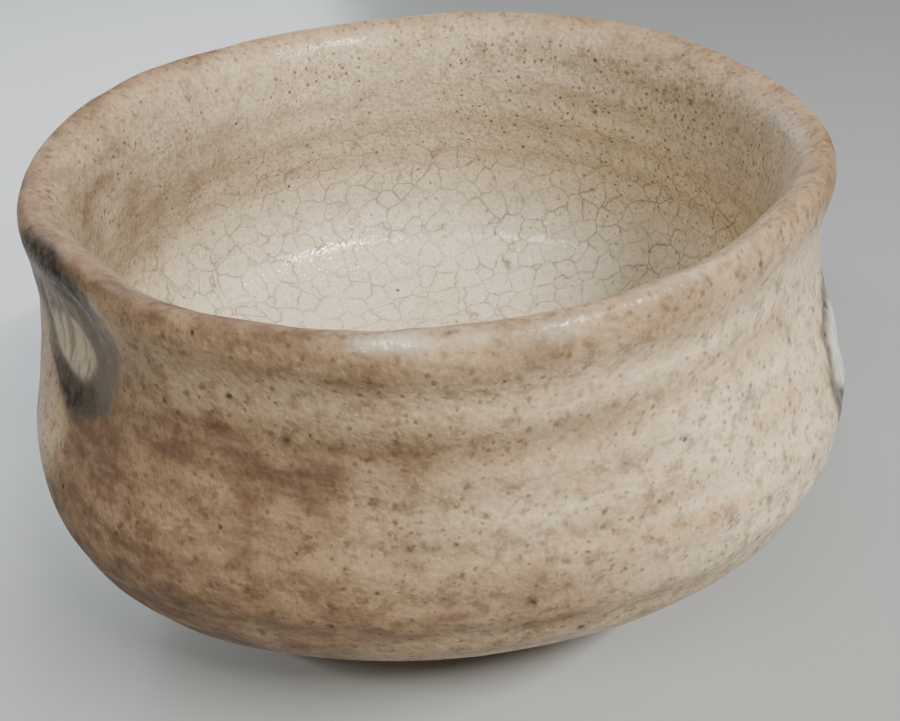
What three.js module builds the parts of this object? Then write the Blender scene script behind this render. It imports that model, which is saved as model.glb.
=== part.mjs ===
// A hand-thrown tea bowl: a waisted clay body pressed slightly out of round,
// a foot ring luted on below, a glaze poured inside, a glaze dipped outside,
// and two brushed marks on the outer wall, one of them in a thumb dent.
// Millimetres, +Z up, origin at the centre of the foot ring's resting face.
import * as THREE from 'three';

// Driving dimensions
const rimHeight = 73;
const glazeThickness = 0.6;
const layerGap = 0.3;
const pigmentThickness = 0.4;
const stepsAround = 60;

// The glazed skin in section, as [radius, height], from beside the foot ring,
// up the outside, over the lip and down the inside to the middle of the floor.
const outerWall = [
  [28, 6.4], [36, 7.4], [43, 10], [50.5, 14.2], [54.9, 16.9], [58.4, 19.8], [60.8, 22.7],
  [62.6, 26.1], [64.4, 32], [64.7, 36], [64.2, 40], [61.8, 48.5], [59.9, 56.5], [59.5, 63.5],
  [60.1, 69],
];
const lip = [[59.5, 71.6], [58.2, rimHeight], [56.4, 72.5], [54.7, 71.2], [53.5, 69.1]];
const innerWall = [
  [52.8, 66], [52.7, 62], [53.9, 55.5], [56.6, 48], [58.7, 41], [58, 34.5], [56.3, 30.6],
  [53.8, 27.4], [50.6, 24.7], [47, 22.6], [37, 18.8], [25, 16.9], [12.5, 16.2], [0, 16],
];
const skinOutline = [...outerWall, ...lip, ...innerWall];
const lastStop = skinOutline.length - 1;
const lengthSteps = 10; // steps from stop to stop in which the skin's length is measured
const crestStop = outerWall.length + 1;
const seamStop = crestStop + 0.15; // where the two glazes meet, just inside the crest
const glazeLineStop = 1.5; // the outer glaze stops here, above the foot

// The underside of the body, from its middle out to the foot ring's outer edge
const underside = [[0, 6.3], [4, 6.6], [10, 7.1], [21.5, 7.3]];

// The foot ring in section, resting face first
const footOutline = [
  [22.6, 0], [26.8, 0], [27.6, 0.9], [28.3, 6], [27.8, 7], [22.4, 7], [21.9, 6], [22, 0.8],
];

// How the soft bowl was pressed out of round. A wave has a number of lobes, a size
// and the direction its first lobe faces, in degrees round from +X.
const rimWaves = [
  { lobes: 2, size: 0.016, facing: 32 },
  { lobes: 3, size: 0.006, facing: 31 },
  { lobes: 4, size: 0.025, facing: 10.5 },
];
const bellyWaves = [
  { lobes: 1, size: 0.013, facing: 238 },
  { lobes: 2, size: 0.014, facing: 30 },
  { lobes: 3, size: 0.015, facing: -16 },
  { lobes: 4, size: 0.017, facing: 43.5 },
];
const lipRises = [
  { lobes: 1, size: 2.2, facing: 89 },
  { lobes: 2, size: 1.4, facing: 114 },
  { lobes: 3, size: 1.2, facing: 48 },
  { lobes: 4, size: 0.55, facing: 62 },
];
const rimWavesEnd = 8; // depths below the rim between which the rim's waves
const bellyWavesStart = 38; // give way to the belly's
const lipRiseEnd = 45;
const roundFootHeight = 7; // the trimmed foot is round again
const pressedHeight = 13;

// The thumb dent: how far it presses in, as a share of the radius, its width in
// degrees round the wall, and its place and height down from the rim
const thumbDent = { facing: 215, press: 0.037, width: 12, depth: 8, height: 20 };

// The brushed marks, measured round the wall and down it from the lip's crest.
// The lean is how far a mark's lower end moves round for each millimetre down.
const leftMark = { facing: 212.5, depth: 13.6, halfWidth: 9.5, halfHeight: 8.8, lean: 0.3 };
const rightMark = { facing: 340, depth: 30, halfWidth: 8, halfHeight: 8.5, lean: -0.35 };
const strokeWidth = 2.4;
const strokePool = 0.8; // how much further the stroke spreads where it pools below
const stepsRoundMark = 24;
const ringsInPanel = 3;

const skin = new THREE.SplineCurve(skinOutline.map(([r, z]) => new THREE.Vector2(r, z)));
const crestLength = skin.getLengths(lastStop * lengthSteps)[crestStop * lengthSteps];

function waveSum(waves, angle) {
  let sum = 0;
  for (const { lobes, size, facing } of waves) {
    sum += size * Math.cos(lobes * (angle - THREE.MathUtils.degToRad(facing)));
  }
  return sum;
}

function dentPress(angle, depth) {
  const turn = THREE.MathUtils.radToDeg(angle) - thumbDent.facing;
  const across = (THREE.MathUtils.euclideanModulo(turn + 180, 360) - 180) / thumbDent.width;
  const down = (depth - thumbDent.depth) / thumbDent.height;
  return thumbDent.press * Math.exp(-across * across - down * down);
}

// Moves a point of the round section to its place on the pressed bowl.
function pressed(radius, height, angle) {
  const depth = rimHeight - height;
  const towardsBelly = THREE.MathUtils.smoothstep(depth, rimWavesEnd, bellyWavesStart);
  const aboveFoot = THREE.MathUtils.smoothstep(height, roundFootHeight, pressedHeight);
  const rimPull = (1 - towardsBelly) * waveSum(rimWaves, angle);
  const bellyPull = towardsBelly * waveSum(bellyWaves, angle);
  const r = radius * (1 + aboveFoot * (rimPull + bellyPull) - dentPress(angle, depth));
  const rise = waveSum(lipRises, angle) * THREE.MathUtils.clamp(1 - depth / lipRiseEnd, 0, 1);
  return new THREE.Vector3(r * Math.cos(angle), r * Math.sin(angle), height + rise);
}

// A point of the skin's section, moved into the wall by inset.
function skinPoint(along, inset) {
  const point = skin.getPoint(along);
  const tangent = skin.getTangent(along);
  const radius = along >= 1 ? 0 : point.x - inset * tangent.y;
  return [radius, point.y + inset * tangent.x];
}

// The skin's section between two stops of its outline, moved into the wall by inset.
function skinStretch(from, to, inset) {
  const stops = [from];
  for (let stop = Math.floor(from) + 1; stop < to; stop += 1) {
    stops.push(stop);
  }
  stops.push(to);
  return stops.map((stop) => skinPoint(stop / lastStop, inset));
}

function meshOf(name, vertices, triangles, material) {
  const geometry = new THREE.BufferGeometry().setFromPoints(vertices);
  geometry.setIndex(triangles);
  geometry.computeVertexNormals();
  const mesh = new THREE.Mesh(geometry, material);
  mesh.name = name;
  return mesh;
}

// Turns a section into a closed solid on the pressed bowl. The section runs with the
// material on its left, and closes on itself or starts and ends on the axis.
function turnedSolid(name, section, material) {
  const vertices = [];
  const rings = section.map(([radius, height]) => {
    const first = vertices.length;
    if (radius === 0) {
      vertices.push(pressed(0, height, 0));
      return () => first;
    }
    for (let step = 0; step < stepsAround; step += 1) {
      vertices.push(pressed(radius, height, (step / stepsAround) * 2 * Math.PI));
    }
    return (step) => first + (step % stepsAround);
  });
  const triangles = [];
  const closesOnItself = section[0][0] > 0;
  const bands = closesOnItself ? rings.length : rings.length - 1;
  for (let band = 0; band < bands; band += 1) {
    const lower = rings[band];
    const upper = rings[(band + 1) % rings.length];
    for (let step = 0; step < stepsAround; step += 1) {
      const corners = [lower(step), lower(step + 1), upper(step + 1), upper(step)];
      addQuad(triangles, corners);
    }
  }
  return meshOf(name, vertices, triangles, material);
}

// Two triangles, or one where two corners are the same point of the axis.
function addQuad(triangles, [a, b, c, d]) {
  if (a !== b) {
    triangles.push(a, b, c);
  }
  if (c !== d) {
    triangles.push(a, c, d);
  }
}

// A point of a mark: reach is 0 at its middle and 1 at the panel's edge, turn goes
// round it from its right side, and margin is the distance out from the panel.
function markPoint(mark, reach, turn, margin, standoff) {
  const pooled = margin * (1 + strokePool * Math.max(0, -Math.sin(turn)));
  const up = (mark.halfHeight * reach + pooled) * Math.sin(turn);
  const side = (mark.halfWidth * reach + margin) * Math.cos(turn) - mark.lean * up;
  const along = skin.getUtoTmapping(0, crestLength - mark.depth + up);
  const [radius, height] = skinPoint(along, -standoff);
  return pressed(radius, height, THREE.MathUtils.degToRad(mark.facing) + side / radius);
}

// The white slip in the middle of a mark: an oval plate that follows the wall.
function slipPanel(name, mark, material) {
  const vertices = [];
  const faces = [layerGap, layerGap + pigmentThickness].map((standoff) => {
    const middle = vertices.length;
    vertices.push(markPoint(mark, 0, 0, 0, standoff));
    for (let ring = 1; ring <= ringsInPanel; ring += 1) {
      for (let step = 0; step < stepsRoundMark; step += 1) {
        const turn = (step / stepsRoundMark) * 2 * Math.PI;
        vertices.push(markPoint(mark, ring / ringsInPanel, turn, 0, standoff));
      }
    }
    return (ring, step) => {
      return ring === 0 ? middle : middle + 1 + (ring - 1) * stepsRoundMark + (step % stepsRoundMark);
    };
  });
  const [back, front] = faces;
  const triangles = [];
  for (let step = 0; step < stepsRoundMark; step += 1) {
    for (let ring = 0; ring < ringsInPanel; ring += 1) {
      const next = ring + 1;
      addQuad(triangles, [front(ring, step), front(next, step), front(next, step + 1), front(ring, step + 1)]);
      addQuad(triangles, [back(ring, step + 1), back(next, step + 1), back(next, step), back(ring, step)]);
    }
    const edge = ringsInPanel;
    addQuad(triangles, [back(edge, step), back(edge, step + 1), front(edge, step + 1), front(edge, step)]);
  }
  return meshOf(name, vertices, triangles, material);
}

// The dark stroke round a mark, pooled thicker at its lower end.
function brushStroke(name, mark, material) {
  const section = [
    [layerGap, layerGap],
    [layerGap + strokeWidth, layerGap],
    [layerGap + strokeWidth, layerGap + pigmentThickness],
    [layerGap, layerGap + pigmentThickness],
  ];
  const vertices = [];
  const triangles = [];
  for (let step = 0; step < stepsRoundMark; step += 1) {
    const turn = (step / stepsRoundMark) * 2 * Math.PI;
    const here = step * section.length;
    const there = ((step + 1) % stepsRoundMark) * section.length;
    section.forEach(([margin, standoff], corner) => {
      const next = (corner + 1) % section.length;
      vertices.push(markPoint(mark, 1, turn, margin, standoff));
      addQuad(triangles, [here + corner, there + corner, there + next, here + next]);
    });
  }
  return meshOf(name, vertices, triangles, material);
}

function ceramic(color, roughness) {
  return new THREE.MeshStandardMaterial({ color, roughness, metalness: 0 });
}

const firedClay = ceramic(0xa98466, 0.9);
const outsideGlaze = ceramic(0xc9ab8e, 0.42);
const insideGlaze = ceramic(0xd6c4ab, 0.35);
const whiteSlip = ceramic(0xcfcac2, 0.55);
const ironWash = ceramic(0x4d4540, 0.6);

const underGlaze = glazeThickness + layerGap;
const bodySection = [...underside, ...skinStretch(0, lastStop, underGlaze)];
const outerGlazeSection = [
  ...skinStretch(glazeLineStop, crestStop, 0),
  ...skinStretch(glazeLineStop, crestStop, glazeThickness).reverse(),
];
const innerGlazeSection = [
  ...skinStretch(seamStop, lastStop, glazeThickness).reverse(),
  ...skinStretch(seamStop, lastStop, 0),
];

const bowl = new THREE.Group();
bowl.add(turnedSolid('clay_body', bodySection, firedClay));
bowl.add(turnedSolid('foot_ring', footOutline, firedClay));
bowl.add(turnedSolid('outer_glaze', outerGlazeSection, outsideGlaze));
bowl.add(turnedSolid('inner_glaze', innerGlazeSection, insideGlaze));
bowl.add(slipPanel('slip_panel_left', leftMark, whiteSlip));
bowl.add(slipPanel('slip_panel_right', rightMark, whiteSlip));
bowl.add(brushStroke('brush_stroke_left', leftMark, ironWash));
bowl.add(brushStroke('brush_stroke_right', rightMark, ironWash));

export default bowl;
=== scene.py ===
import math

import bpy
import numpy as np
from mathutils import Matrix, Vector


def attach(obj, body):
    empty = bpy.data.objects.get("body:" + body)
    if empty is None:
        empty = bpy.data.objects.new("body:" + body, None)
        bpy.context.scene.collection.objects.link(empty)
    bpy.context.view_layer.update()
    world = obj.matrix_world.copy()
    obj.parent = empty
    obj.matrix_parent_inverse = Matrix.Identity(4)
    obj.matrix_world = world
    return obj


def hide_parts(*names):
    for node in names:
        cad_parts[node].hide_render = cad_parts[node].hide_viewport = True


# A hand-thrown tea bowl with a waist, pressed out of round: clay body, luted foot ring,
# glaze poured inside, glaze dipped outside, and two brushed marks on the wall.
# Lengths below are millimetres and angles degrees round from +X, unless a note says otherwise.
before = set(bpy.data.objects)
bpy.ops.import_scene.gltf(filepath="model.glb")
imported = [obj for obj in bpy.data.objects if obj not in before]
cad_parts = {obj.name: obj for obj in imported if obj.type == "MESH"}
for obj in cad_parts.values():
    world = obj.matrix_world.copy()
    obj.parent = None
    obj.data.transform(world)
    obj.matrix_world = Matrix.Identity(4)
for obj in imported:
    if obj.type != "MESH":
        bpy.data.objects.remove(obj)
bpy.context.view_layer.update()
millimetre = 0.001
fullTurn = 2 * math.pi

# ---- the thrown form, the same one that the CAD solids follow
form = {
    "rimHeight": 73,
    "outerWall": [
        (28, 6.4), (36, 7.4), (43, 10), (50.5, 14.2), (54.9, 16.9), (58.4, 19.8), (60.8, 22.7),
        (62.6, 26.1), (64.4, 32), (64.7, 36), (64.2, 40), (61.8, 48.5), (59.9, 56.5), (59.5, 63.5),
        (60.1, 69),
    ],
    "lip": [(59.5, 71.6), (58.2, 73), (56.4, 72.5), (54.7, 71.2), (53.5, 69.1)],
    "innerWall": [
        (52.8, 66), (52.7, 62), (53.9, 55.5), (56.6, 48), (58.7, 41), (58, 34.5), (56.3, 30.6),
        (53.8, 27.4), (50.6, 24.7), (47, 22.6), (37, 18.8), (25, 16.9), (12.5, 16.2), (0, 16),
    ],
    "rimWaves": [(2, 0.016, 32), (3, 0.006, 31), (4, 0.025, 10.5)],  # lobes, size, facing
    "bellyWaves": [(1, 0.013, 238), (2, 0.014, 30), (3, 0.015, -16), (4, 0.017, 43.5)],
    "lipRises": [(1, 2.2, 89), (2, 1.4, 114), (3, 1.2, 48), (4, 0.55, 62)],
    "rimToBelly": (8, 38),  # depths between which the rim's waves give way to the belly's
    "lipRiseEnd": 45,
    "footToWall": (7, 13),  # heights between which the round foot becomes the pressed wall
    "dent": {"facing": 215, "press": 0.037, "width": 12, "depth": 8, "height": 20},
    "glazeLine": 1.5,  # stop of the outline where the outside glaze ends
    "seamPast": 0.4,  # the two glazes meet this far past the crest
}
outline = np.array(form["outerWall"] + form["lip"] + form["innerWall"], float)
lastStop = len(outline) - 1
crestStop = len(form["outerWall"]) + 1

# ---- what the hands left in the soft clay, and how the glaze lies on it
hands = {
    # a pair of an amount and a size is value noise of that height, in lumps of that size
    "ringPitch": 7.4, "ringDeep": 0.15, "ringDrift": (2.2, 26),  # throwing rings, a slow spiral
    "ringUsual": 0.55, "ringVaries": (0.65, 30),  # stronger in some places than others
    "calmLip": (3, 10),  # the rings fade out this near the crest
    "calmCentre": (3, 16),  # and towards the middle of the floor
    "calmBelow": (14, 30),  # and down the outside, where the wall was trimmed
    "uneven": (0.38, 19), "ripple": (0.055, 3.2),
    "lipUneven": (0.26, 6.5), "lipReach": 6,
    "nicks": [(269.3, 1.3, 0.42), (262.0, 1.0, 0.16), (96.0, 1.6, 0.3)],  # facing, width, deep
    "nickTall": 2.2,
    "trueBelow": (6.2, 14),  # the bare clay round the foot is trimmed true
}


def softStep(value, low, high):
    # 3t^2 - 2t^3, where t goes from 0 at low to 1 at high
    share = np.clip((value - low) / (high - low), 0, 1)
    return share * share * (3 - 2 * share)


def angleFrom(turn, facing):
    # degrees from facing to turn, between -180 and 180
    return (np.degrees(turn) - facing + 180) % 360 - 180


def waveSum(waves, turn):
    # sum over the waves of size * cos(lobes * (turn - facing))
    return sum(size * np.cos(lobes * (turn - math.radians(facing))) for lobes, size, facing in waves)


def lumps(points, size, seed):
    # Value noise from -1 to 1: a random number at each corner of a lattice of cubes of this
    # size, blended with 3t^2 - 2t^3 along x, y and z in between
    wrap = 32
    table = np.random.default_rng(seed).uniform(-1, 1, (wrap, wrap, wrap))
    cells = np.asarray(points) / size + 100 * wrap
    corner = np.floor(cells).astype(int)
    part = cells - corner
    part = part * part * (3 - 2 * part)
    total = 0
    for stepX in (0, 1):
        for stepY in (0, 1):
            for stepZ in (0, 1):
                weight = np.ones(part.shape[:-1])
                for axis, step in enumerate((stepX, stepY, stepZ)):
                    weight = weight * (part[..., axis] if step else 1 - part[..., axis])
                x, y, z = ((corner[..., axis] + step) % wrap
                           for axis, step in enumerate((stepX, stepY, stepZ)))
                total = total + weight * table[x, y, z]
    return total


def noiseOf(points, amountAndSize, seed):
    amount, size = amountAndSize
    return amount * lumps(points, size, seed)


def splineAt(points, stop, closed=False):
    # Uniform Catmull-Rom: between stops i and i+1 the point is the cubic with the ends p1, p2
    # and the slopes (p2 - p0) / 2 and (p3 - p1) / 2. Gives the point and the slope.
    count = len(points)
    stop = np.asarray(stop, float)
    first = np.floor(stop).astype(int)
    if not closed:
        first = np.clip(first, 0, count - 2)
    t = (stop - first)[..., None]
    wrapTo = (lambda i: i % count) if closed else (lambda i: np.clip(i, 0, count - 1))
    p0, p1, p2, p3 = (points[wrapTo(first + i)] for i in (-1, 0, 1, 2))
    slope1 = (p2 - p0) / 2
    slope2 = (p3 - p1) / 2
    bend = 2 * p1 - 2 * p2 + slope1 + slope2
    ease = -3 * p1 + 3 * p2 - 2 * slope1 - slope2
    place = ((bend * t + ease) * t + slope1) * t + p1
    return place, (3 * bend * t + 2 * ease) * t + slope1


stopTable = np.linspace(0, lastStop, lastStop * 40 + 1)
stepTable = np.linalg.norm(np.diff(splineAt(outline, stopTable)[0], axis=0), axis=1)
arcTable = np.concatenate([[0], np.cumsum(stepTable)])
crestArc = np.interp(crestStop, stopTable, arcTable)


def stopPast(past):
    # the stop of the outline that lies this far past the crest, measured along the section:
    # negative down the outside, positive down the inside
    return np.interp(past + crestArc, arcTable, stopTable)


def pastOf(stop):
    return np.interp(stop, stopTable, arcTable) - crestArc


def pressed(radius, height, turn):
    # Pushes a round section out of round: r = radius * (1 + foot * (rim waves above, belly
    # waves below) - dent), and lifts it by the lip's rises, less and less further down
    depth = form["rimHeight"] - height
    toBelly = softStep(depth, *form["rimToBelly"])
    aboveFoot = softStep(height, *form["footToWall"])
    dent = form["dent"]
    across = angleFrom(turn, dent["facing"]) / dent["width"]
    down = (depth - dent["depth"]) / dent["height"]
    pull = (1 - toBelly) * waveSum(form["rimWaves"], turn)
    pull = pull + toBelly * waveSum(form["bellyWaves"], turn)
    r = radius * (1 + aboveFoot * pull - dent["press"] * np.exp(-across**2 - down**2))
    rise = waveSum(form["lipRises"], turn) * np.clip(1 - depth / form["lipRiseEnd"], 0, 1)
    return np.stack([r * np.cos(turn), r * np.sin(turn), height + rise], axis=-1)


def handRelief(stop, turn):
    # Out along the section's normal: throwing rings deep * sin(2 pi (past + drift) / pitch + turn)
    # stronger in some places than others, plus value noise of three sizes, less nicks in the lip
    place, _ = splineAt(outline, stop)
    points = pressed(place[..., 0], place[..., 1], turn)
    past = pastOf(stop)
    drifted = past + noiseOf(points, hands["ringDrift"], 3)
    rings = np.sin(fullTurn * drifted / hands["ringPitch"] + turn)
    strength = hands["ringDeep"] * (hands["ringUsual"] + noiseOf(points, hands["ringVaries"], 4))
    strength = strength * softStep(np.abs(past), *hands["calmLip"])
    strength = strength * softStep(place[..., 0], *hands["calmCentre"])
    strength = strength * np.where(past > 0, 1, softStep(place[..., 1], *hands["calmBelow"]))
    relief = strength * rings + noiseOf(points, hands["uneven"], 5)
    nearLip = np.exp(-(past / hands["lipReach"])**2)
    relief = relief + nearLip * noiseOf(points, hands["lipUneven"], 6)
    relief = relief + noiseOf(points, hands["ripple"], 7)
    for facing, width, deep in hands["nicks"]:
        across = angleFrom(turn, facing) / width
        relief = relief - deep * np.exp(-across**2 - (past / hands["nickTall"])**2)
    return relief * softStep(place[..., 1], *hands["trueBelow"])


def skinSurface(stop, turn, lift=0.0):
    # The section's point at stop, moved out along its normal by the relief and the lift,
    # then pressed out of round
    stop, turn, lift = np.broadcast_arrays(stop, turn, lift)
    place, slope = splineAt(outline, stop)
    slope = slope / np.linalg.norm(slope, axis=-1, keepdims=True)
    out = lift + handRelief(stop, turn)
    radius = np.maximum(place[..., 0] + out * slope[..., 1], 0)
    height = place[..., 1] - out * slope[..., 0]
    return pressed(radius, height, turn)


def turnsRound(steps):
    return np.arange(steps) / steps * fullTurn


def gridMesh(name, grid, poles=None, masks=None, sharp=35):
    # A grid of points that closes on itself round every row. Its first and last rows join each
    # other, or end in a fan at the two poles. Faces are turned to enclose a positive volume,
    # each mask becomes an attribute, and edges that bend more than sharp degrees are creased.
    rows, columns = grid.shape[:2]
    points = grid.reshape(-1, 3)
    here = np.arange(rows * columns).reshape(rows, columns)
    nextColumn = np.roll(here, -1, axis=1)
    nextRow = np.roll(here, -1, axis=0)
    across = np.roll(nextRow, -1, axis=1)
    quads = np.stack([here, nextColumn, across, nextRow], axis=-1)
    if poles is not None:
        quads = quads[:-1]
    faces = [quads.reshape(-1, 4)]
    if poles is not None:
        points = np.concatenate([points, np.array(poles, float)])
        firstPole = np.full(columns, rows * columns)
        faces.append(np.stack([firstPole, nextColumn[0], here[0]], axis=-1))
        faces.append(np.stack([firstPole + 1, here[-1], nextColumn[-1]], axis=-1))
    fan = [face[:, [0, i, i + 1]] for face in faces for i in range(1, face.shape[1] - 1)]
    corners = points[np.concatenate(fan)]
    volume = np.einsum("ij,ij->i", corners[:, 0], np.cross(corners[:, 1], corners[:, 2])).sum()
    if volume < 0:
        faces = [face[:, ::-1] for face in faces]
    mesh = bpy.data.meshes.new(name)
    mesh.from_pydata(points * millimetre, [], [tuple(f) for face in faces for f in face.tolist()])
    mesh.polygons.foreach_set("use_smooth", np.ones(len(mesh.polygons), bool))
    mesh.set_sharp_from_angle(angle=math.radians(sharp))
    for maskName, values in (masks or {}).items():
        values = np.broadcast_to(values, (rows, columns)).ravel()
        if poles is not None:
            ends = [values[:columns].mean(), values[-columns:].mean()]
            values = np.concatenate([values, ends])
        attribute = mesh.attributes.new(maskName, "FLOAT", "POINT")
        attribute.data.foreach_set("value", values.astype(np.float32))
    piece = bpy.data.objects.new(name, mesh)
    bpy.context.scene.collection.objects.link(piece)
    return piece


def handOver(piece, node, material):
    # the piece stands for its CAD solid, in that solid's finish
    piece.data.materials.append(material)
    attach(piece, "root")
    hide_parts(node)
    print(piece.name, len(piece.data.polygons), "faces")


# ---- where the glaze turned warm, milky, pale or speckled, and where shade and light are painted into it
# each patch is (facing, past, degrees wide, millimetres tall, amount), and an amount below
# zero takes some away
kiln = {
    "blushAndPaintedShade": [
        (262, -5, 24, 2.0, 0.48), (300, -4, 26, 2.4, 0.30), (342, -3, 18, 3.5, 0.60),
        (260, -16, 22, 3.0, 0.5), (246, -20, 18, 5, 0.45), (286, -15, 12, 2.2, 0.3),
        # the broad patches down the outside's left side, at 228, 224 and 226 degrees, are painted
        # shade as well as blush
        (228, -38, 36, 26, 1.3), (224, -22, 10, 8, 0.2), (262, -34, 18, 14, 0.2),
        (226, -54, 20, 10, 0.2), (262, -54, 26, 9, 0.16), (205, 1, 20, 3.6, 0.12),
        (240, 0.5, 22, 4, 0.5), (150, -1, 28, 4, 0.6), (292, -46, 18, 6, 0.25),
        (310, -50, 20, 5, 0.2), (196, -9, 10, 6, 0.4), (170, -22, 22, 8, 0.5),
        (128, -14, 26, 4, 0.5), (95, -38, 34, 9, 0.45), (50, -18, 24, 4, 0.5),
        (20, -44, 22, 10, 0.4), (8, 18, 14, 10, 0.25), (345, 14, 14, 9, 0.25),
        (150, 24, 30, 9, 0.28), (55, 12, 30, 7, 0.08), (180, 9, 20, 6, 0.35),
        (200, 16, 38, 20, 0.42), (166, 26, 36, 18, 0.4), (205, -38, 9, 13, -0.55),
        # (280, -40) is painted shade low on the front, and (38, 5) is painted shade inside the right
        # lip
        (280, -40, 18, 9, 0.45), (38, 5, 40, 9, 0.4),
    ],
    "lipBlush": 0.42, "lipBlushPast": -0.4, "lipBlushTall": 3.2,
    "blushShadeUsual": 0.95, "blushShadeVaries": (0.28, 5),
    "creamAndPaintedLight": [
        # (312, -30) is painted light as well as cream: it lightens the outside's front right, its lit
        # side
        (312, -30, 28, 20, 0.95), (296, -11, 26, 1.8, 0.7), (318, -19, 22, 2.0, 0.5),
        (276, -24, 12, 4.5, 0.55), (330, -8, 12, 4, 0.3), (213, -36, 9, 10, 0.55),
        (140, -34, 24, 14, 0.5), (68, -26, 20, 12, 0.5), (20, -20, 18, 8, 0.4),
        # the patches at 58 and 80 degrees, and at 45 degrees below, are painted light on the inside's
        # right
        (296, -57, 32, 9, 0.5), (58, 27, 26, 14, 0.95), (80, 12, 40, 9, 0.5),
        (45, 12, 24, 10, 0.35),
    ],
    "creamLightUsual": 0.75, "creamLightVaries": (0.5, 5), "creamLightStretch": (0.35, 0.35, 2.2),
    "milk": [
        (265, -1.0, 3.8, 1.0, 0.75), (273, -0.8, 3, 0.8, 0.3),
        (282, -1.6, 3, 1.0, 0.3), (300, 0.2, 9, 0.8, 0.3),
    ],
    "inside": (-1.5, 13),  # the outside's tone gives way to the inside's between these
    "freckleOut": 0.7, "freckleVaries": (0.5, 15), "freckleLeast": 0.16,
    "freckleIn": [
        (52, 18, 26, 15, 0.75), (18, 12, 24, 9, 0.6), (122, 24, 16, 7, 0.6),
        (100, 8, 30, 5, 0.5), (165, 14, 26, 12, 0.35), (35, 42, 26, 9, 0.4),
    ],
    "poolFacing": 92, "poolPast": (34, 58), "poolOff": 7,  # the pool lies off the middle
    "poolUsual": 0.82, "poolVaries": (0.3, 14),
    "crazeIn": (18, 36), "crazeOff": 0.5,
    # the value noise that shifts the patches, and more closely the milky ones
    "wanderTurn": (0.09, 11), "wanderPast": (1.3, 9), "wanderEdge": (0.5, 3.5),
    "milkTurn": (0.02, 4), "milkPast": (0.25, 2.5),
}


def patchSum(patches, turn, past):
    # sum over the patches of amount * exp(-(degrees off / wide)^2 - (millimetres off / tall)^2)
    total = 0
    for facing, centre, wide, tall, amount in patches:
        across = angleFrom(turn, facing) / wide
        total = total + amount * np.exp(-across**2 - ((past - centre) / tall)**2)
    return total


def glazeMasks(stop, turn):
    # Shares from 0 to 1 that the glaze's shader reads, from patches whose places are shifted
    # by value noise so that their edges wander
    stop, turn = np.broadcast_arrays(stop, turn)
    place, _ = splineAt(outline, stop)
    points = pressed(place[..., 0], place[..., 1], turn)
    past = pastOf(stop)
    wanderTurn = turn + noiseOf(points, kiln["wanderTurn"], 21)
    wanderPast = past + noiseOf(points, kiln["wanderPast"], 22)
    wanderPast = wanderPast + noiseOf(points, kiln["wanderEdge"], 23)
    blushAndPaintedShade = patchSum(kiln["blushAndPaintedShade"], wanderTurn, wanderPast)
    fromLip = (past - kiln["lipBlushPast"]) / kiln["lipBlushTall"]
    blushAndPaintedShade = blushAndPaintedShade + kiln["lipBlush"] * np.exp(-fromLip**2)
    blushAndPaintedShade = blushAndPaintedShade * (kiln["blushShadeUsual"] + noiseOf(points, kiln["blushShadeVaries"], 25))
    streaked = noiseOf(points * kiln["creamLightStretch"], kiln["creamLightVaries"], 24)
    creamAndPaintedLight = patchSum(kiln["creamAndPaintedLight"], wanderTurn, wanderPast) * (kiln["creamLightUsual"] + streaked)
    milkTurn = turn + noiseOf(points, kiln["milkTurn"], 27)
    milk = patchSum(kiln["milk"], milkTurn, past + noiseOf(points, kiln["milkPast"], 26))
    inside = softStep(past, *kiln["inside"])
    outer = (1 - inside) * kiln["freckleOut"] * (1 + noiseOf(points, kiln["freckleVaries"], 28))
    inner = kiln["freckleLeast"] + patchSum(kiln["freckleIn"], wanderTurn, wanderPast)
    lean = kiln["poolOff"] * np.cos(turn - math.radians(kiln["poolFacing"]))
    pool = softStep(wanderPast + lean, *kiln["poolPast"])
    pool = pool * (kiln["poolUsual"] + noiseOf(points, kiln["poolVaries"], 29))
    craze = softStep(wanderPast + kiln["crazeOff"] * lean, *kiln["crazeIn"])
    masks = {"blushAndPaintedShade": blushAndPaintedShade, "creamAndPaintedLight": creamAndPaintedLight, "milk": milk, "inside": inside,
             "freckle": outer + inside * inner, "pool": pool, "craze": craze,
             **markMasks(stop, turn, points)}
    return {name: np.clip(values, 0, 1) for name, values in masks.items()}


# ---- the two brushed marks: where they sit, how big the slip panel is, and the stroke round it
marks = {
    "left": {"facing": 212.5, "depth": 13.6, "halfWidth": 9.5, "halfHeight": 8.8, "lean": 0.3},
    "right": {"facing": 340, "depth": 30, "halfWidth": 8, "halfHeight": 8.5, "lean": -0.35},
    "strokeWidth": 2.7,
    "pool": 0.8,  # the stroke spreads this much further where it pools below
    # the wash ends at this share of the stroke's width, and further out below and above
    "washOut": 0.75, "washOutPool": 0.05, "reachUp": {"left": 1.3, "right": 0.1},
    # it runs this far in over the slip, and further below, on one side and above
    "overlap": 1.0, "overlapPool": 2.7,
    "overlapSide": {"left": 2.8, "right": -0.2}, "overlapTop": {"left": 6.6, "right": 0.6},
    # below, beside and above begin and are full at these shares of the panel's half size
    "belowShare": (0.15, 1), "sideShare": (0.1, 0.9),
    "topShare": {"left": (-0.25, 0.65), "right": (0.3, 0.95)},
    # how far off its edge each one starts and ends to fade, and how the edges wander
    "slipFade": (-1.6, 1.4), "washStart": (-2.2, 1.2), "washEnd": (-1.6, 1.2),
    "wander": (0.9, 3.4), "wanderStreak": (1, 1, 0.5), "wanderEdge": (0.45, 1.3),
    # how dark it is where it pooled, less on the side, and where the brush landed
    "pooledDark": 1.3, "sideDark": 0.45, "landedShare": (0.55, 1.05), "landedRight": 0.35,
    "paleReach": (1.6, 2),  # one mark's slip and wash are paler and greyer
    "within": 4,  # no mark goes this far past the crest
}


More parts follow.
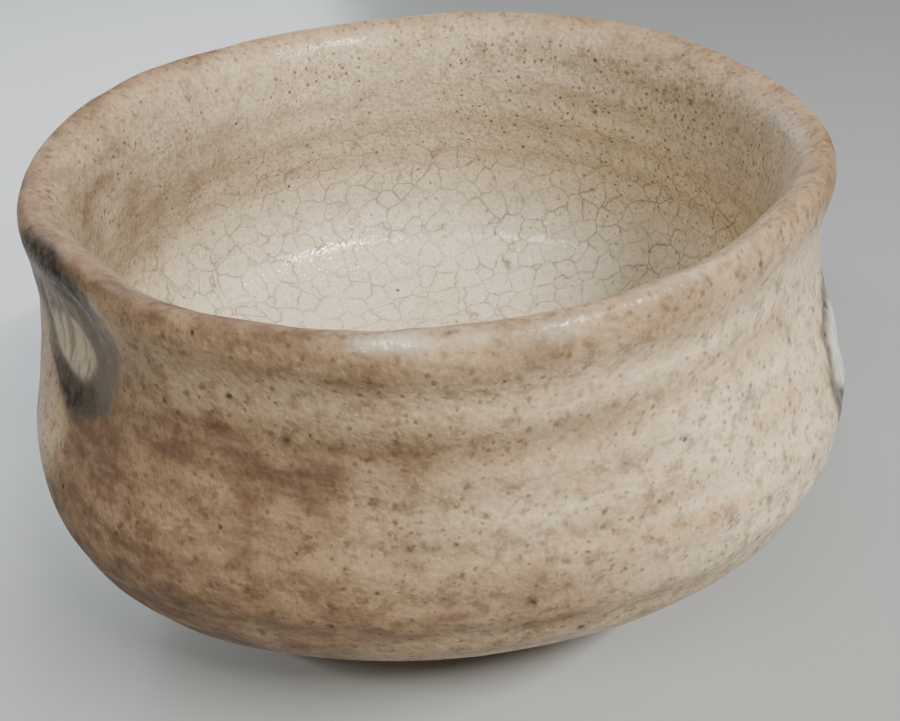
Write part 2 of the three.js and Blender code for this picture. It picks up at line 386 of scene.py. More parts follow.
def markPlace(mark, reach, spin, margin):
    # A mark's own oval: up = (halfHeight * reach + margin, pooled below) * sin(spin) and
    # side = (halfWidth * reach + margin) * cos(spin) - lean * up. Gives its stop and turn.
    pooled = margin * (1 + marks["pool"] * np.maximum(0, -np.sin(spin)))
    up = (mark["halfHeight"] * reach + pooled) * np.sin(spin)
    side = (mark["halfWidth"] * reach + margin) * np.cos(spin) - mark["lean"] * up
    stop = stopPast(up - mark["depth"])
    radius = splineAt(outline, stop)[0][..., 0]
    return stop, math.radians(mark["facing"]) + side / radius


def fadeIn(value, edge, span):
    # a soft step across an edge, from span's first distance off it to its second
    return softStep(value, edge + span[0], edge + span[1])


def markMasks(stop, turn, points):
    # In a mark's own oval, margin = (hypot(side / halfWidth, up / halfHeight) - 1) * size is the
    # distance out from the panel. The wash covers it between two wandering margins, the slip
    # lies inside them, and the wash is dark where it pooled below and where the brush landed.
    past = pastOf(stop)
    radius = splineAt(outline, stop)[0][..., 0]
    wander = noiseOf(points * marks["wanderStreak"], marks["wander"], 31)
    wander = wander + noiseOf(points, marks["wanderEdge"], 32)
    here = (past < marks["within"]) * 1.0
    total = {"slip": 0, "wash": 0, "dark": 0, "pale": 0}
    for side in ("left", "right"):
        mark = marks[side]
        up = past + mark["depth"]
        upShare = up / mark["halfHeight"]
        across = np.radians(angleFrom(turn, mark["facing"])) * radius + mark["lean"] * up
        oval = np.hypot(across / mark["halfWidth"], upShare)
        margin = (oval - 1) * (mark["halfWidth"] + mark["halfHeight"]) / 2 + wander
        below = softStep(-upShare, *marks["belowShare"])
        above = softStep(upShare, *marks["topShare"][side])
        beside = softStep(across / mark["halfWidth"], *marks["sideShare"])
        inner = -marks["overlap"] - marks["overlapPool"] * below
        inner = inner - marks["overlapSide"][side] * beside - marks["overlapTop"][side] * above
        outer = marks["washOut"] + marks["washOutPool"] * below + marks["reachUp"][side] * above
        outer = marks["strokeWidth"] * outer
        band = here * fadeIn(margin, inner, marks["washStart"])
        band = band * (1 - fadeIn(margin, outer, marks["washEnd"]))
        if side == "left":
            landed = softStep(upShare, *marks["landedShare"])
        else:
            landed = marks["landedRight"] * above
            total["pale"] = here * (1 - softStep(oval, *marks["paleReach"]))
        pooled = marks["pooledDark"] * below**1.5 * (1 - marks["sideDark"] * beside)
        total["slip"] = total["slip"] + here * (1 - fadeIn(margin, inner, marks["slipFade"]))
        total["wash"] = total["wash"] + band
        total["dark"] = total["dark"] + band * np.clip(pooled + landed, 0, 1)
    return total


# ---- shader helpers
def tone(red, green, blue):
    # a colour given as 0 to 255 on screen, turned into light
    channels = [c / 255 for c in (red, green, blue)]
    return [c / 12.92 if c < 0.04045 else ((c + 0.055) / 1.055)**2.4 for c in channels] + [1]


def feed(tree, socket, value):
    # a socket is linked, and anything else is set
    if isinstance(value, bpy.types.NodeSocket):
        tree.links.new(value, socket)
    else:
        socket.default_value = value


def calc(tree, operation, a, b=0.0, clamp=False):
    node = tree.nodes.new("ShaderNodeMath")
    node.operation = operation
    node.use_clamp = clamp
    feed(tree, node.inputs[0], a)
    feed(tree, node.inputs[1], b)
    return node.outputs[0]


def product(tree, *amounts):
    # the amounts multiplied together
    total = amounts[0]
    for amount in amounts[1:]:
        total = calc(tree, "MULTIPLY", total, amount)
    return total


def between(tree, value, low, high, start=0.0, end=1.0):
    # start below low, end above high, and a smooth step in between
    node = tree.nodes.new("ShaderNodeMapRange")
    node.interpolation_type = "SMOOTHSTEP"
    for name, given in (("Value", value), ("From Min", low), ("From Max", high),
                        ("To Min", start), ("To Max", end)):
        feed(tree, node.inputs[name], given)
    return node.outputs["Result"]


def tint(tree, amount, under, over):
    node = tree.nodes.new("ShaderNodeMix")
    node.data_type = "RGBA"
    feed(tree, node.inputs[0], amount)
    feed(tree, node.inputs[6], under)
    feed(tree, node.inputs[7], over)
    return node.outputs[2]


def layer(tree, colour, over, *amounts):
    # lays a tone over the colour, as much as the product of the amounts
    return tint(tree, product(tree, *amounts), colour, over)


def mask(tree, name):
    node = tree.nodes.new("ShaderNodeAttribute")
    node.attribute_name = name
    return node.outputs["Fac"]


def clouds(tree, place, size, detail=2.0, rough=0.5, stretch=(1, 1, 1)):
    # noise whose lumps are about this many millimetres across
    turned = tree.nodes.new("ShaderNodeMapping")
    turned.inputs["Scale"].default_value = stretch
    feed(tree, turned.inputs["Vector"], place)
    node = tree.nodes.new("ShaderNodeTexNoise")
    feed(tree, node.inputs["Vector"], turned.outputs[0])
    node.inputs["Scale"].default_value = 1 / size
    node.inputs["Detail"].default_value = detail
    node.inputs["Roughness"].default_value = rough
    return node


def cells(tree, place, size, feature="F1"):
    node = tree.nodes.new("ShaderNodeTexVoronoi")
    node.feature = feature
    feed(tree, node.inputs["Vector"], place)
    node.inputs["Scale"].default_value = 1 / size
    return node


def freckles(tree, place, size, density, largest, soft):
    # one round spot in some of the cells: its cell's own random colour says whether it is there
    # and how big it is, up to the largest radius as a share of the cell, and its edge is as
    # soft as asked
    node = cells(tree, place, size)
    chance = tree.nodes.new("ShaderNodeSeparateColor")
    feed(tree, chance.inputs[0], node.outputs["Color"])
    there = calc(tree, "LESS_THAN", chance.outputs[0], density)
    radius = between(tree, chance.outputs[1], 0, 1, largest * 0.35, largest)
    inner = calc(tree, "MULTIPLY", radius, 1 - soft)
    spot = between(tree, node.outputs["Distance"], inner, radius, 1, 0)
    return calc(tree, "MULTIPLY", spot, there)


def crackLines(tree, place, size, width):
    # thin lines along the walls between cells of this size, with a soft halo round each
    node = cells(tree, place, size, "DISTANCE_TO_EDGE")
    node.inputs["Randomness"].default_value = 0.88
    core = between(tree, node.outputs["Distance"], width * 0.2, width, 1, 0)
    halo = between(tree, node.outputs["Distance"], 0, width * 3, 0.36, 0)
    return calc(tree, "MAXIMUM", core, halo)


def startMaterial(name):
    # a material with its shader, and the piece's own coordinates in millimetres
    material = bpy.data.materials.new(name)
    material.use_nodes = True
    tree = material.node_tree
    shader = tree.nodes["Principled BSDF"]
    spot = tree.nodes.new("ShaderNodeTexCoord")
    scaled = tree.nodes.new("ShaderNodeVectorMath")
    scaled.operation = "SCALE"
    scaled.inputs["Scale"].default_value = 1000
    tree.links.new(spot.outputs["Object"], scaled.inputs[0])
    return material, tree, shader, scaled.outputs[0]


def warped(tree, place, size, far):
    # shifts the coordinates by up to far millimetres, in lumps of this size
    noise = clouds(tree, place, size, 1.0)
    centred = tree.nodes.new("ShaderNodeVectorMath")
    centred.operation = "SUBTRACT"
    tree.links.new(noise.outputs["Color"], centred.inputs[0])
    centred.inputs[1].default_value = (0.5, 0.5, 0.5)
    moved = tree.nodes.new("ShaderNodeVectorMath")
    moved.operation = "MULTIPLY_ADD"
    tree.links.new(centred.outputs[0], moved.inputs[0])
    moved.inputs[1].default_value = (far * 2, far * 2, far * 2)
    feed(tree, moved.inputs[2], place)
    return moved.outputs[0]


def bump(tree, height, deep, under=None):
    # deep is how many millimetres a height of 1 stands up
    node = tree.nodes.new("ShaderNodeBump")
    node.inputs["Distance"].default_value = deep * millimetre
    feed(tree, node.inputs["Height"], height)
    if under is not None:
        feed(tree, node.inputs["Normal"], under)
    return node.outputs[0]


glazeLook = {
    "outside": tone(188, 161, 126), "outsideDeep": tone(163, 133, 98),
    "inside": tone(206, 189, 163), "insideDeep": tone(192, 174, 151),
    # the blush tone also paints shade, and the cream tone also paints light
    "blushAndPaintedShade": tone(93, 70, 55), "creamAndPaintedLight": tone(222, 206, 176), "milk": tone(206, 197, 176),
    "pool": tone(210, 201, 179), "freckle": tone(84, 61, 38), "dot": tone(40, 30, 22),
    "spot": tone(62, 44, 28), "crack": tone(104, 86, 66),
    # cell size, share of the cells that hold a freckle, largest radius and softness
    "large": (3.1, 0.5, 0.36, 0.9), "medium": (1.9, 0.8, 0.44, 0.85),
    "sandy": (0.8, 0.6, 0.4, 0.7),
    "crackSize": 4.9, "fineCrackSize": 3.038, "crackWidth": 0.034, "crackDeep": 0.012,
    "coat": 0.4, "coatRough": 0.06, "shine": 0.3, "ior": 1.5,
    "peelSize": 0.95, "peelDeep": 0.18, "pitSize": 0.42, "pitDeep": 0.05,
    "rough": (0.42, 0.62),
}


def glazeGround(tree, place):
    # the beige glaze, deeper in broad clouds, with its streaky cream and blush, which also carry
    # painted light and painted shade, and its pool
    look = glazeLook
    broad = clouds(tree, place, 13, 3, 0.55).outputs[0]
    streak = clouds(tree, place, 6, 3, 0.6, (1, 1, 3.2)).outputs[0]
    deep = between(tree, broad, 0.38, 0.68, 0, 0.6)
    outside = tint(tree, deep, look["outside"], look["outsideDeep"])
    inside = tint(tree, deep, look["inside"], look["insideDeep"])
    colour = tint(tree, mask(tree, "inside"), outside, inside)
    creamLightStreaks = between(tree, streak, 0.3, 0.6, 0.45, 1)
    colour = layer(tree, colour, look["creamAndPaintedLight"], mask(tree, "creamAndPaintedLight"), creamLightStreaks)
    blushShadeStreaks = between(tree, streak, 0.3, 0.68, 0.72, 1.05)
    colour = layer(tree, colour, look["blushAndPaintedShade"], mask(tree, "blushAndPaintedShade"), blushShadeStreaks, 0.92)
    return tint(tree, mask(tree, "pool"), colour, look["pool"])


def mottled(tree, place, colour, fine, thin, grainy):
    # the iron shows through where the glaze is thin, in soft blots of three sizes, and pale
    # specks like sugar lie where there is no blush and no painted shade
    look = glazeLook
    outer = calc(tree, "SUBTRACT", 1.0, mask(tree, "inside"))
    spread = product(tree, thin, calc(tree, "ADD", product(tree, outer, 0.55), 0.35))
    blots = clouds(tree, warped(tree, place, 1.3, 0.6), 3.2, 3, 0.6).outputs[0]
    grain = clouds(tree, place, 0.7, 3, 0.65).outputs[0]
    for pattern, low, high, most, where in (
            (blots, 0.5, 0.72, 0.42, spread), (fine, 0.5, 0.68, 0.5, spread),
            (grain, 0.46, 0.66, 0.34, grainy)):
        blotch = between(tree, pattern, low, high, 0, most)
        colour = layer(tree, colour, look["freckle"], blotch, where)
    bare = calc(tree, "SUBTRACT", 1.0, mask(tree, "blushAndPaintedShade"), True)
    return layer(tree, colour, look["creamAndPaintedLight"], between(tree, grain, 0.5, 0.3, 0, 0.25), bare)


def freckled(tree, place, colour, thin, grainy):
    # soft spots in patches, then small freckles as dense as their mask says, sandy grain all
    # over, and a few sharp dots
    look = glazeLook
    within = mask(tree, "inside")
    density = mask(tree, "freckle")
    patchy = between(tree, clouds(tree, place, 7, 2).outputs[0], 0.36, 0.62, 0.25, 1)
    large = freckles(tree, warped(tree, place, 1.2, 0.8), *look["large"])
    medium = freckles(tree, warped(tree, place, 0.9, 0.5), *look["medium"])
    soft = calc(tree, "MAXIMUM", large, product(tree, medium, 0.85))
    where = calc(tree, "MAXIMUM", calc(tree, "SUBTRACT", 1.0, within), density)
    colour = layer(tree, colour, look["spot"], soft, patchy, 0.72, where)
    near = warped(tree, place, 0.55, 0.3)
    strength = calc(tree, "ADD", product(tree, within, 0.2), 0.58)
    clustered = freckles(tree, near, 1.2, density, 0.4, 0.6)
    colour = layer(tree, colour, look["freckle"], clustered, strength, thin)
    sandy = freckles(tree, near, *look["sandy"])
    colour = layer(tree, colour, look["freckle"], sandy, grainy, 0.45)
    sparse = calc(tree, "ADD", product(tree, density, 0.3), 0.03)
    dots = freckles(tree, near, 3.1, sparse, 0.16, 0.6)
    return layer(tree, colour, look["dot"], dots, strength, 1.2)


def crazing(tree, place):
    # the walls between 3-D cells, bent, fading in and out, finer higher up the wall
    look = glazeLook
    wavy = warped(tree, warped(tree, place, 5, 1.5), 1.8, 0.5)
    wide = crackLines(tree, wavy, look["crackSize"], look["crackWidth"])
    fineWeb = crackLines(tree, wavy, look["fineCrackSize"], look["crackWidth"])
    faded = between(tree, clouds(tree, place, 7, 2).outputs[0], 0.34, 0.62, 0.45, 1)
    craze = mask(tree, "craze")
    higher = calc(tree, "SUBTRACT", 1.0, craze)
    innerMore = calc(tree, "ADD", mask(tree, "inside"), 0.12)
    lower = product(tree, wide, craze, 0.72)
    upper = product(tree, fineWeb, higher, 0.36, innerMore)
    return product(tree, calc(tree, "ADD", lower, upper), faded)


def glazeColours(tree, place):
    # the ground, then mottling, freckles, crazing, milk and the brushed marks over it
    fine = clouds(tree, place, 2.3, 3, 0.6).outputs[0]
    thin = calc(tree, "SUBTRACT", 1.0, product(tree, mask(tree, "pool"), 0.5))
    within = calc(tree, "ADD", product(tree, mask(tree, "inside"), 0.6), 0.4)
    grainy = product(tree, thin, within)
    colour = glazeGround(tree, place)
    colour = mottled(tree, place, colour, fine, thin, grainy)
    colour = freckled(tree, place, colour, thin, grainy)
    line = crazing(tree, place)
    colour = tint(tree, line, colour, glazeLook["crack"])
    colour = tint(tree, mask(tree, "milk"), colour, glazeLook["milk"])
    return brushedMarks(tree, place, colour, fine), line


pigment = {
    "slip": tone(174, 162, 140), "slipPale": tone(204, 204, 196),
    "slipGrey": tone(118, 108, 94), "slipGreyPale": tone(140, 142, 138),
    "wash": tone(99, 92, 82), "washPale": tone(56, 54, 50),
    "dark": tone(36, 22, 13), "darkPale": tone(44, 40, 36),
}


def brushedMarks(tree, place, colour, fine):
    # white slip streaked by the brush, then thin blue-grey wash, then the brown-black it left
    # where it pooled. One mark's slip is thick and pale.
    pale = mask(tree, "pale")
    streak = clouds(tree, place, 1.5, 3, 0.6, (1, 1, 0.16)).outputs[0]
    slipTone = tint(tree, pale, pigment["slip"], pigment["slipPale"])
    greyTone = tint(tree, pale, pigment["slipGrey"], pigment["slipGreyPale"])
    brushed = tint(tree, between(tree, streak, 0.44, 0.66, 0, 0.85), slipTone, greyTone)
    colour = layer(tree, colour, brushed, mask(tree, "slip"), 0.92)
    thin = between(tree, streak, 0.36, 0.66, 1.0, 0.62)
    washTone = tint(tree, pale, pigment["wash"], pigment["washPale"])
    colour = layer(tree, colour, washTone, mask(tree, "wash"), thin)
    darkTone = tint(tree, pale, pigment["dark"], pigment["darkPale"])
    patchy = between(tree, fine, 0.3, 0.62, 1, 0.6)
    return layer(tree, colour, darkTone, mask(tree, "dark"), patchy)


def glazeSurface(tree, shader, place, line):
    # a satin glaze over a fine pitted skin, glossier where it is thick, drier where it blushed and
    # where shade is painted
    look = glazeLook
    pits = clouds(tree, place, look["pitSize"], 2, 0.6).outputs[0]
    peel = clouds(tree, place, look["peelSize"], 1, 0.5).outputs[0]
    normal = bump(tree, peel, look["peelDeep"])
    normal = bump(tree, pits, look["pitDeep"], normal)
    normal = bump(tree, calc(tree, "SUBTRACT", 1.0, line), look["crackDeep"], normal)
    blushAndPaintedShade = mask(tree, "blushAndPaintedShade")
    thick = calc(tree, "MAXIMUM", mask(tree, "pool"), mask(tree, "milk"))
    rough = between(tree, clouds(tree, place, 1.1, 2).outputs[0], 0.3, 0.7, *look["rough"])
    rough = calc(tree, "SUBTRACT", rough, product(tree, thick, 0.14))
    rough = calc(tree, "ADD", rough, product(tree, blushAndPaintedShade, 0.2))
    dry = calc(tree, "SUBTRACT", look["coat"], product(tree, blushAndPaintedShade, 0.5), True)
    feed(tree, shader.inputs["Roughness"], rough)
    feed(tree, shader.inputs["Normal"], normal)
    feed(tree, shader.inputs["Coat Normal"], normal)
    feed(tree, shader.inputs["Coat Weight"], calc(tree, "ADD", thick, dry, True))
    shader.inputs["Coat Roughness"].default_value = look["coatRough"]
    shader.inputs["Specular IOR Level"].default_value = look["shine"]
    shader.inputs["IOR"].default_value = look["ior"]


def glazeMaterial(name):
    material, tree, shader, place = startMaterial(name)
    colour, line = glazeColours(tree, place)
    feed(tree, shader.inputs["Base Color"], colour)
    glazeSurface(tree, shader, place, line)
    return material


# ---- the clay body and the foot ring: bare clay, trimmed with a turning tool
clay = {
    "around": 360,
    "inset": 0.6, "deepInset": 1.25, "under": (78, 70),  # under the glaze it lies deeper
    "underside": [(0, 6.25), (2.2, 6.5), (4.5, 6.75), (9, 7.05), (15, 7.2), (22, 7.35), (26, 7.5)],
    "toolPitch": 1.15, "toolDeep": 0.07, "toolFrom": (1, 4),
    "grit": (0.05, 0.9), "lumpy": (0.07, 3),
}


def trimmed(points, radius, turn):
    # the turning tool's spiral, deep * sin(2 pi radius / pitch + turn), and the clay's own grit
    spiral = clay["toolDeep"] * np.sin(fullTurn * radius / clay["toolPitch"] + turn)
    spiral = spiral * softStep(radius, *clay["toolFrom"])
    return spiral + noiseOf(points, clay["grit"], 41) + noiseOf(points, clay["lumpy"], 42)


def makeClayBody():
    turn = turnsRound(clay["around"])[None, :]
    # underside, from the small nub in the middle out to the foot
    base = np.array(clay["underside"], float)
    place, _ = splineAt(base, np.linspace(0.25, len(base) - 1, 44))
    radius = place[:, :1] + 0 * turn
    below = np.stack([radius * np.cos(turn), radius * np.sin(turn), place[:, 1:] + 0 * turn], axis=-1)
    below[..., 2] += trimmed(below, radius, turn)
    # up the outside, over the lip and down the inside, a little under the skin
    bare = stopPast(np.linspace(-crestArc + 0.5, -crestArc + 20, 36))
    hidden = np.arange(math.ceil(bare[-1] * 2 + 0.2) / 2, lastStop - 0.4, 0.5)
    stop = np.concatenate([bare, hidden])[:, None]
    past = pastOf(stop)
    deeper = softStep(-past, *clay["under"][::-1])
    lift = -(clay["deepInset"] + (clay["inset"] - clay["deepInset"]) * deeper)
    wall = skinSurface(stop, turn, lift)
    grit = trimmed(wall, splineAt(outline, stop)[0][..., 0] + 0 * turn, turn) * deeper
    wall = skinSurface(stop, turn, lift + grit)
    grid = np.concatenate([below, wall])
    poles = [(0, 0, base[0, 1]), (0, 0, outline[-1, 1] - clay["deepInset"])]
    return gridMesh("Clay_body", grid, poles)


foot = {
    "around": 420,
    "outline": [
        (23.3, 0), (26.1, 0), (26.8, 0.2), (27.25, 0.9), (27.6, 3.4), (27.9, 5.2), (28.7, 6.3),
        (30.6, 7.3), (31, 8.2), (26, 8.7), (20, 8.5), (18.9, 7.8), (20.6, 6.9), (21.6, 5.6),
        (22.0, 3.2), (22.2, 0.9), (22.6, 0.2),
    ],
    "rowsPerStop": 6,
    "wander": (0.25, 16), "grit": (0.06, 0.9), "lumpy": (0.08, 2.6),
    "toolPitch": 1.3, "toolDeep": 0.06,
}


def makeFootRing():
    # the ring's closed outline turned round the axis, with tool marks and grit, never below z = 0
    base = np.array(foot["outline"], float)
    stop = np.arange(len(base) * foot["rowsPerStop"]) / foot["rowsPerStop"]
    place, slope = splineAt(base, stop, closed=True)
    slope = slope / np.linalg.norm(slope, axis=-1, keepdims=True)
    turn = turnsRound(foot["around"])[None, :]
    radius = place[:, :1] + 0 * turn
    height = place[:, 1:] + 0 * turn
    points = np.stack([radius * np.cos(turn), radius * np.sin(turn), height], axis=-1)
    wander = noiseOf(points * (1, 1, 0.3), foot["wander"], 51) * softStep(height, 0.1, 2)
    spiral = foot["toolDeep"] * np.sin(fullTurn * height / foot["toolPitch"] + turn)
    out = wander + spiral * softStep(height, 0.5, 1.5)
    out = out + noiseOf(points, foot["grit"], 52) + noiseOf(points, foot["lumpy"], 53)
    radius = radius + out * slope[:, 1:]
    height = np.maximum(height - out * slope[:, :1] * softStep(height, 0, 1), 0)
    grid = np.stack([radius * np.cos(turn), radius * np.sin(turn), height], axis=-1)
    return gridMesh("Foot_ring", grid)


clayLook = {
    "body": tone(176, 134, 100), "toasted": tone(142, 92, 60), "pale": tone(203, 171, 138),
    "grit": tone(92, 66, 48), "dust": tone(219, 203, 182),
    # cell size, share of the cells that hold a spot, largest radius and softness
    "gritSpots": (1.1, 0.3, 0.4, 0.4), "dustSpots": (1.6, 0.2, 0.35, 0.4),
    "pits": (1.9, 0.35, 0.3, 0.5), "pitDeep": 0.16,
    "sandSize": 0.45, "sandDeep": 0.12, "rough": (0.78, 0.95),
}


def clayMaterial(name):
    # sandy fired clay, toasted in places, with dark and pale grit and a dry rough face
    look = clayLook
    material, tree, shader, place = startMaterial(name)
    toasted = between(tree, clouds(tree, place, 11, 4, 0.6).outputs[0], 0.4, 0.66)
    colour = tint(tree, toasted, look["body"], look["toasted"])
    pale = between(tree, clouds(tree, place, 3.5, 4, 0.65).outputs[0], 0.55, 0.72, 0, 0.5)
    colour = tint(tree, pale, colour, look["pale"])
    bent = warped(tree, place, 0.8, 0.2)
    colour = layer(tree, colour, look["grit"], freckles(tree, bent, *look["gritSpots"]), 0.7)
    colour = layer(tree, colour, look["dust"], freckles(tree, bent, *look["dustSpots"]), 0.6)
    sand = clouds(tree, place, look["sandSize"], 3, 0.65).outputs[0]
    pits = freckles(tree, bent, *look["pits"])
    normal = bump(tree, sand, look["sandDeep"])
    normal = bump(tree, calc(tree, "SUBTRACT", 1.0, pits), look["pitDeep"], normal)
    feed(tree, shader.inputs["Base Color"], colour)
    feed(tree, shader.inputs["Roughness"], between(tree, sand, 0.3, 0.7, *look["rough"]))
    feed(tree, shader.inputs["Normal"], normal)
    return material


# ---- the two glazes: thin closed shells that meet on one line just past the crest
glaze = {
    "around": 540,
    "thick": 0.5,
    "outerRows": 126, "innerRows": 142,
    "lineWander": (1.7, 15), "lineRagged": (0.5, 4),
    "bead": 0.28, "beadEnd": 4, "edgeSunk": 0.65,
    "edgeRows": [0, 0.06, 0.16, 0.32, 0.55, 0.85, 1.2, 1.6, 2.1, 2.7, 3.3],
    "tucks": [(0.5, -0.008), (1.0, -0.05), (1.5, -0.25)],  # past the seam, and how far under
}


def glazeEdge(turn):
    # where the dipped glaze ends: the glaze line's place plus value noise of two sizes
    circle = np.stack([40 * np.cos(turn), 40 * np.sin(turn), 0 * turn], axis=-1)
    edge = pastOf(form["glazeLine"]) + noiseOf(circle, glaze["lineWander"], 61)
    return edge + noiseOf(circle, glaze["lineRagged"], 62)


def makeOuterGlaze():
    # From the bead at the glaze line up to the seam, then back down inside it. The bead's
    # section is sunk * (sqrt(1 - (1 - d)^2) - 1) for the first millimetre, plus a soft swelling.
    turn = turnsRound(glaze["around"])[None, :]
    edge = glazeEdge(turn)
    near = np.array(glaze["edgeRows"])[:, None]
    share = np.linspace(0, 1, glaze["outerRows"])[:, None]
    seam = form["seamPast"]
    rise = edge + glaze["beadEnd"] + (seam - edge - glaze["beadEnd"]) * share
    past = np.concatenate([edge + near, rise])
    fromEdge = past - edge
    roll = np.sqrt(1 - (1 - np.clip(fromEdge, 0, 1))**2)
    swell = glaze["bead"] * roll * (1 - softStep(fromEdge, 1, glaze["beadEnd"]))
    lift = glaze["edgeSunk"] * (roll - 1) + swell
    tuckPast = np.array([seam + gap for gap, _ in glaze["tucks"]])[:, None] + 0 * turn
    tuckLift = np.array([under for _, under in glaze["tucks"]])[:, None] + 0 * turn
    backStop = np.arange(crestStop, form["glazeLine"] + 0.6, -0.5)[:, None] + 0 * turn
    backPast = np.concatenate([pastOf(backStop), edge + 0.6])
    backLift = np.full(backPast.shape, -glaze["thick"])
    past = np.concatenate([past, tuckPast, backPast])
    lift = np.concatenate([lift, tuckLift, backLift])
    stop = stopPast(past)
    grid = skinSurface(stop, turn, lift)
    return gridMesh("Outer_glaze", grid, masks=glazeMasks(stop, turn + 0 * stop), sharp=60)


def makeInnerGlaze():
    # From the middle of the floor out and up along its back, round at the seam, and down the
    # inside to the middle again
    turn = turnsRound(glaze["around"])[None, :]
    seam = form["seamPast"]
    floorPast = pastOf(lastStop)
    frontPast = np.linspace(seam, floorPast - 0.7, glaze["innerRows"])
    tuckPast = np.array([seam - gap for gap, _ in glaze["tucks"]])[::-1]
    tuckLift = np.array([under for _, under in glaze["tucks"]])[::-1]
    backStop = np.arange(lastStop - 0.5, crestStop + 0.4, -0.5)
    past = np.concatenate([pastOf(backStop), tuckPast, frontPast])[:, None] + 0 * turn
    lift = np.concatenate([np.full(len(backStop), -glaze["thick"]), tuckLift, 0 * frontPast])[:, None]
    stop = stopPast(past)
    grid = skinSurface(stop, turn, lift)
    middle = skinSurface(np.array([lastStop - 1e-6]), np.array([0.0]))[0]
    poles = [(0, 0, middle[2] - glaze["thick"]), (0, 0, middle[2])]
    return gridMesh("Inner_glaze", grid, poles, masks=glazeMasks(stop, turn + 0 * stop), sharp=60)


# ---- the marks: a panel of white slip, and the dark wash brushed round it. Their colours are
# the glaze's own masks, so a piece's edge melts into the glaze round it.
slip = {
    "around": 200, "rings": 44, "thick": 0.26, "sunk": -0.2, "edge": 0.3, "backLift": -0.42,
    "streakSize": 1.3, "streak": 0.05, "wobble": 0.06, "topStep": {"left": 0.06, "right": 0.4},
    "shrink": 0.92,
}


def makeSlipPanel(side):
    # An oval dome of slip: lift = sunk + (thick - sunk) * (1 - softStep(reach)) with low brush
    # streaks along it, its edge sunk under the glaze, closed by a back inside the wall
    mark = marks[side]
    spin = turnsRound(slip["around"])[None, :]
    circle = np.stack([3 * np.cos(spin), 3 * np.sin(spin), 0 * spin], axis=-1)
    wobble = slip["shrink"] * (1 + slip["wobble"] * lumps(circle, 1.6, 71))
    reach = np.linspace(0.02, 1.06, slip["rings"])[:, None]
    backReach = np.array([1.0, 0.5, 0.05])[:, None]
    stop, turn = markPlace(mark, np.concatenate([reach, backReach]) * wobble, spin, 0)
    frontStop, frontTurn = stop[:len(reach)], turn[:len(reach)]
    points = skinSurface(frontStop, frontTurn)
    along = np.stack([np.radians(angleFrom(frontTurn, mark["facing"])) * 60, 0 * frontTurn,
                      pastOf(frontStop) * 0.14], axis=-1)
    top = softStep(np.sin(spin) * reach, 0.1, 0.8)
    thick = slip["thick"] + slip["topStep"][side] * top + 0.06 * lumps(points, 3, 73)
    thick = thick + slip["streak"] * lumps(along, slip["streakSize"], 72)
    full = 1 - softStep(reach, 1 - slip["edge"], 1.06)
    lift = slip["sunk"] + (thick - slip["sunk"]) * full
    lift = np.concatenate([lift, slip["backLift"] + 0 * backReach * spin])
    grid = skinSurface(stop, turn, lift)
    middle = markPlace(mark, np.zeros(1), np.zeros(1), 0)
    poles = [skinSurface(*middle, slip["thick"])[0], skinSurface(*middle, slip["backLift"])[0]]
    return gridMesh("Slip_panel_" + side, grid, poles, glazeMasks(stop, turn), sharp=60)


stroke = {
    "around": 300, "across": 34, "thick": 0.1, "sunk": -0.12, "edge": 0.3, "backLift": -0.4,
    "inner": -1.3, "wobble": 0.5,
}


def makeBrushStroke(side):
    # A ring round the panel whose margin runs from inner to the stroke's ragged width. The lift
    # is sunk + (thick - sunk) * a soft rise and fall across it, so both edges melt in.
    mark = marks[side]
    spin = turnsRound(stroke["around"])[None, :]
    circle = np.stack([8 * np.cos(spin), 8 * np.sin(spin), 0 * spin], axis=-1)
    outer = marks["strokeWidth"] + stroke["wobble"] * lumps(circle, 2.0, 81)
    across = np.linspace(0, 1, stroke["across"])[:, None]
    share = np.concatenate([across, np.array([1.0, 0.5, 0.0])[:, None]])
    stop, turn = markPlace(mark, 1.0, spin, stroke["inner"] + (outer - stroke["inner"]) * share)
    full = softStep(across, 0, stroke["edge"]) * (1 - softStep(across, 1 - stroke["edge"], 1))
    lift = stroke["sunk"] + (stroke["thick"] - stroke["sunk"]) * full
    lift = np.concatenate([lift, np.full((3, 1), stroke["backLift"])])
    grid = skinSurface(stop, turn, lift)
    return gridMesh("Brush_stroke_" + side, grid, masks=glazeMasks(stop, turn), sharp=60)


# ---- building the bowl
handOver(makeClayBody(), "clay_body", clayMaterial("fired_clay"))
handOver(makeFootRing(), "foot_ring", clayMaterial("fired_clay_foot"))
handOver(makeOuterGlaze(), "outer_glaze", glazeMaterial("outside_glaze"))
handOver(makeInnerGlaze(), "inner_glaze", glazeMaterial("inside_glaze"))
for side in ("left", "right"):
    panel = makeSlipPanel(side)
    handOver(panel, "slip_panel_" + side, glazeMaterial("white_slip_" + side))
    brushed = makeBrushStroke(side)
    handOver(brushed, "brush_stroke_" + side, glazeMaterial("iron_wash_" + side))

# ---- the table, the light and the camera, in metres
table = {
    "half": 1.6, "pale": tone(160, 163, 163), "worn": tone(154, 157, 158),
    "rough": 0.27, "ior": 2.1,
}


def makeTable():
    half = table["half"]
    mesh = bpy.data.meshes.new("Table")
    corners = [(-half, -half, 0), (half, -half, 0), (half, half, 0), (-half, half, 0)]
    mesh.from_pydata(corners, [], [(0, 1, 2, 3)])
    top = bpy.data.objects.new("Table", mesh)
    bpy.context.scene.collection.objects.link(top)
    material, tree, shader, place = startMaterial("pale_table")
    grain = clouds(tree, place, 30, 3).outputs[0]
    feed(tree, shader.inputs["Base Color"], tint(tree, grain, table["pale"], table["worn"]))
    shader.inputs["Roughness"].default_value = table["rough"]
    shader.inputs["IOR"].default_value = table["ior"]
    top.data.materials.append(material)


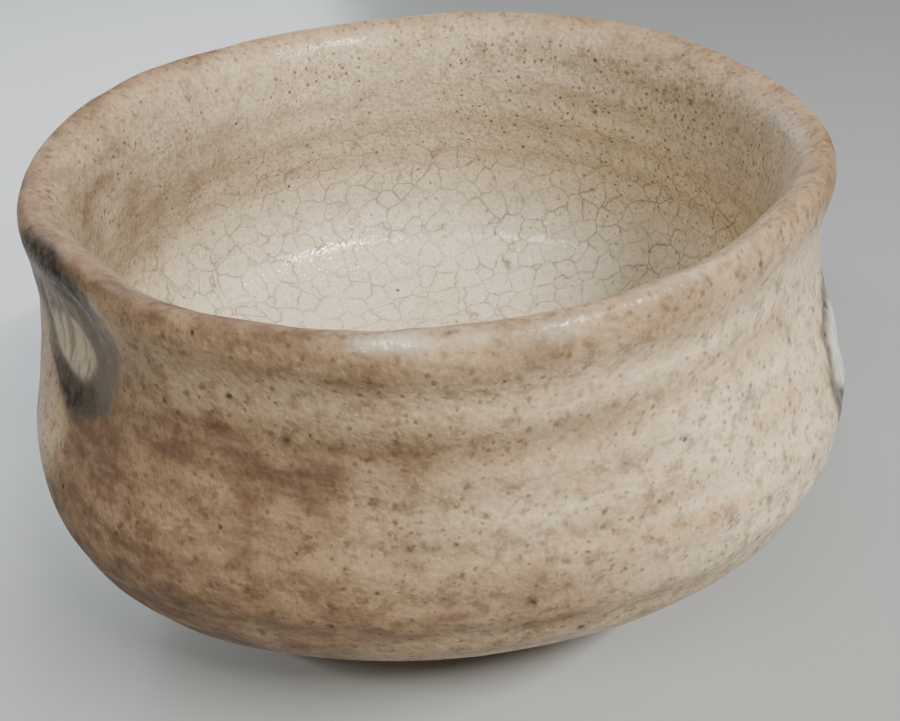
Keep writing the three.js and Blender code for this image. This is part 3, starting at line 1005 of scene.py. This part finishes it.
lights = {
    "sky": ((0.88, 0.92, 1.0), 0.17),
    # facing, elevation, metres away, width, height, power and colour of each panel
    "panels": {
        "Right_strip": (318, 50, 0.95, 0.50, 0.03, 15.5, (1.0, 0.97, 0.90)),
        "Left_strip": (235, 50, 0.95, 0.40, 0.018, 3.3, (1.0, 0.97, 0.90)),
        "Window": (121, 25, 2.4, 2.3, 1.3, 33, (0.88, 0.94, 1.0)),
    },
    "aim": (0, 0, 0.03),
}


def makeLights():
    world = bpy.data.worlds.new("Soft_room")
    world.use_nodes = True
    backdrop = world.node_tree.nodes["Background"]
    backdrop.inputs[0].default_value = (*lights["sky"][0], 1)
    backdrop.inputs[1].default_value = lights["sky"][1]
    bpy.context.scene.world = world
    for name, (facing, high, away, width, height, power, colour) in lights["panels"].items():
        lamp = bpy.data.lights.new(name, "AREA")
        lamp.shape = "RECTANGLE"
        lamp.size = width
        lamp.size_y = height
        lamp.energy = power
        lamp.color = colour
        level = away * math.cos(math.radians(high))
        place = Vector((level * math.cos(math.radians(facing)), level * math.sin(math.radians(facing)),
                        away * math.sin(math.radians(high))))
        panel = bpy.data.objects.new(name, lamp)
        panel.location = place
        panel.rotation_euler = (Vector(lights["aim"]) - place).to_track_quat("-Z", "Y").to_euler()
        bpy.context.scene.collection.objects.link(panel)


view = {"place": (0, -0.1478, 0.1263), "yaw": 0.45, "down": 33.0, "roll": -2.4, "lens": 40}


def makeCamera():
    yaw, down, roll = (math.radians(view[key]) for key in ("yaw", "down", "roll"))
    ahead = Vector((math.sin(yaw) * math.cos(down), math.cos(yaw) * math.cos(down), -math.sin(down)))
    right = ahead.cross(Vector((0, 0, 1))).normalized()
    up = right.cross(ahead)
    tiltedRight = right * math.cos(roll) + up * math.sin(roll)
    tiltedUp = up * math.cos(roll) - right * math.sin(roll)
    turned = Matrix((tiltedRight, tiltedUp, -ahead)).transposed().to_4x4()
    lens = bpy.data.cameras.new("Camera")
    lens.lens = view["lens"]
    lens.sensor_width = 36
    lens.clip_start = 0.01
    camera = bpy.data.objects.new("Camera", lens)
    camera.matrix_world = Matrix.Translation(view["place"]) @ turned
    bpy.context.scene.collection.objects.link(camera)
    bpy.context.scene.camera = camera


makeTable()
makeLights()
makeCamera()
print("table, light and camera in place")
